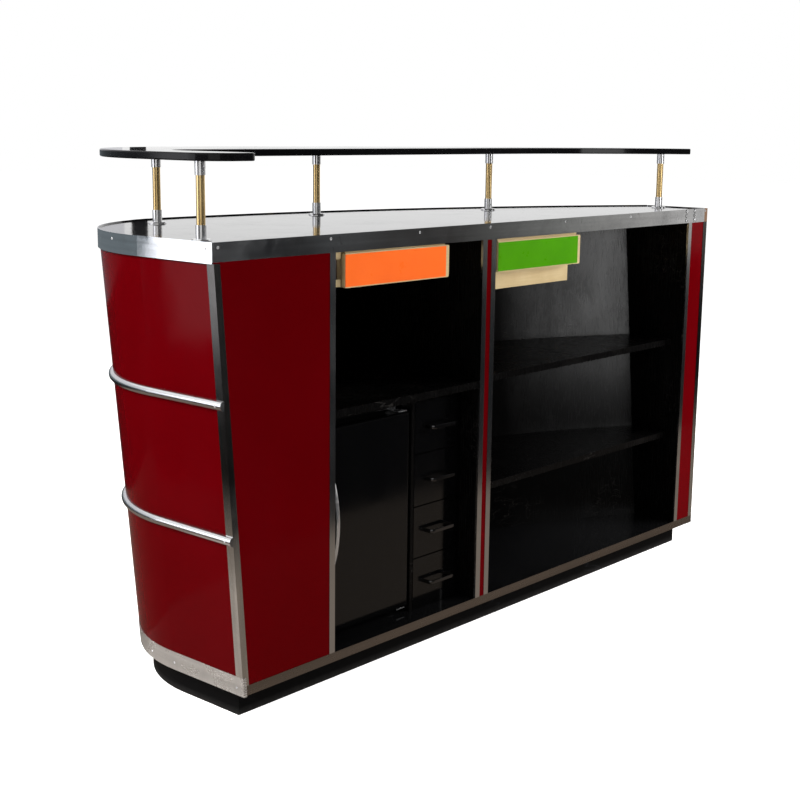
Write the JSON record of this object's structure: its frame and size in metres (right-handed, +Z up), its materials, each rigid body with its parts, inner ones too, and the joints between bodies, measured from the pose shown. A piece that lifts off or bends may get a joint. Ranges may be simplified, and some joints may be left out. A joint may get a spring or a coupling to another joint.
{
  "type": "bar counter with shelves",
  "caption": "Bar counter with a rounded, leaning red front, raised glass shelf on brass posts, open bays with shelves, drawers under the top and a small black cooler.",
  "frame": {"origin": "middle of the bounding box in plan, on the floor", "axes": "+X along the counter's length, -Y out of the service side with the open bays, +Z up"},
  "size_m": [1.995, 0.669, 1.246],
  "materials": {
    "plinth_black": "matte black faced board",
    "black_gloss": "glossy black laminate",
    "black_board": "satin black faced board",
    "raw_board": "bare chipboard",
    "red_laminate": "glossy deep red laminate",
    "chrome": "polished chrome",
    "bright_metal": "bright anodised aluminium",
    "brushed_metal": "brushed aluminium",
    "brass": "polished brass",
    "cooler_black": "glossy black",
    "gasket_rubber": "soft grey rubber",
    "cream_board": "cream faced board",
    "orange_laminate": "orange laminate",
    "green_laminate": "green laminate",
    "runner_brown": "dark brown hardwood"
  },
  "bodies": {
    "counter": {"plinth_service_board": "plinth_black", "plinth_end_board": "plinth_black", "plinth_curved_board": "plinth_black", "plinth_bearers": "raw_board", "bottom_board": "black_gloss", "top_board": "raw_board", "top_laminate": "black_gloss", "wall_left": "black_board", "wall_right": "black_board", "partition_boards": "black_board", "back_lining": "black_board", "curved_studs": "raw_board", "service_panels": "red_laminate", "end_panel": "red_laminate", "opening_trims": "chrome", "base_trim_curved": "brushed_metal", "base_trims_straight": "brushed_metal", "corner_trim_left": "bright_metal", "corner_trim_right": "bright_metal", "skin_lower": "red_laminate", "skin_middle": "red_laminate", "skin_upper": "red_laminate", "rail_upper": "bright_metal", "rail_lower": "bright_metal", "band_service": "bright_metal", "band_curved": "bright_metal", "band_end": "bright_metal", "rim_bead": "black_gloss", "shelf_right_upper": "black_board", "shelf_right_lower": "black_board", "shelf_left": "black_board", "shelf_cleats": "black_board", "module_top": "black_board", "module_divider": "black_board", "cooler_case": "cooler_black", "hinge_brackets": "chrome", "left_drawer_guides": "cream_board", "drawer_runners": "runner_brown", "raised_shelf": "black_gloss", "post_sockets": "chrome", "post_bars": "brass"},
    "left_top_drawer": {"left_drawer_front": "cream_board", "left_drawer_face": "orange_laminate", "left_drawer_box": "cream_board", "left_drawer_tongue": "runner_brown"},
    "right_top_drawer": {"right_drawer_front": "cream_board", "right_drawer_face": "green_laminate", "right_drawer_box": "cream_board"},
    "cooler_door_leaf": {"cooler_door": "cooler_black", "cooler_gasket": "gasket_rubber", "cooler_handle": "chrome"},
    "column_drawer_body_1": {"column_drawer_1": "cooler_black", "column_pull_1": "chrome"},
    "column_drawer_body_2": {"column_drawer_2": "cooler_black", "column_pull_2": "chrome"},
    "column_drawer_body_3": {"column_drawer_3": "cooler_black", "column_pull_3": "chrome"},
    "column_drawer_body_4": {"column_drawer_4": "cooler_black", "column_pull_4": "chrome"}
  },
  "joints": [
    {"name": "left_top_drawer_slide", "type": "slide", "parent": "counter", "child": "left_top_drawer", "axis": [0, -1, 0], "range_m": [0, 0.3]},
    {"name": "right_top_drawer_slide", "type": "slide", "parent": "counter", "child": "right_top_drawer", "axis": [0, -1, 0], "range_m": [0, 0.3]},
    {"name": "cooler_door_hinge", "type": "hinge", "parent": "counter", "child": "cooler_door_leaf", "pos_m": [-0.3241, -0.2615, 0.359], "axis": [0, 0, 1], "range_deg": [0, 90]},
    {"name": "column_drawer_1_slide", "type": "slide", "parent": "counter", "child": "column_drawer_body_1", "axis": [0, -1, 0], "range_m": [0, 0.25]},
    {"name": "column_drawer_2_slide", "type": "slide", "parent": "counter", "child": "column_drawer_body_2", "axis": [0, -1, 0], "range_m": [0, 0.25]},
    {"name": "column_drawer_3_slide", "type": "slide", "parent": "counter", "child": "column_drawer_body_3", "axis": [0, -1, 0], "range_m": [0, 0.25]},
    {"name": "column_drawer_4_slide", "type": "slide", "parent": "counter", "child": "column_drawer_body_4", "axis": [0, -1, 0], "range_m": [0, 0.25]}
  ]
}
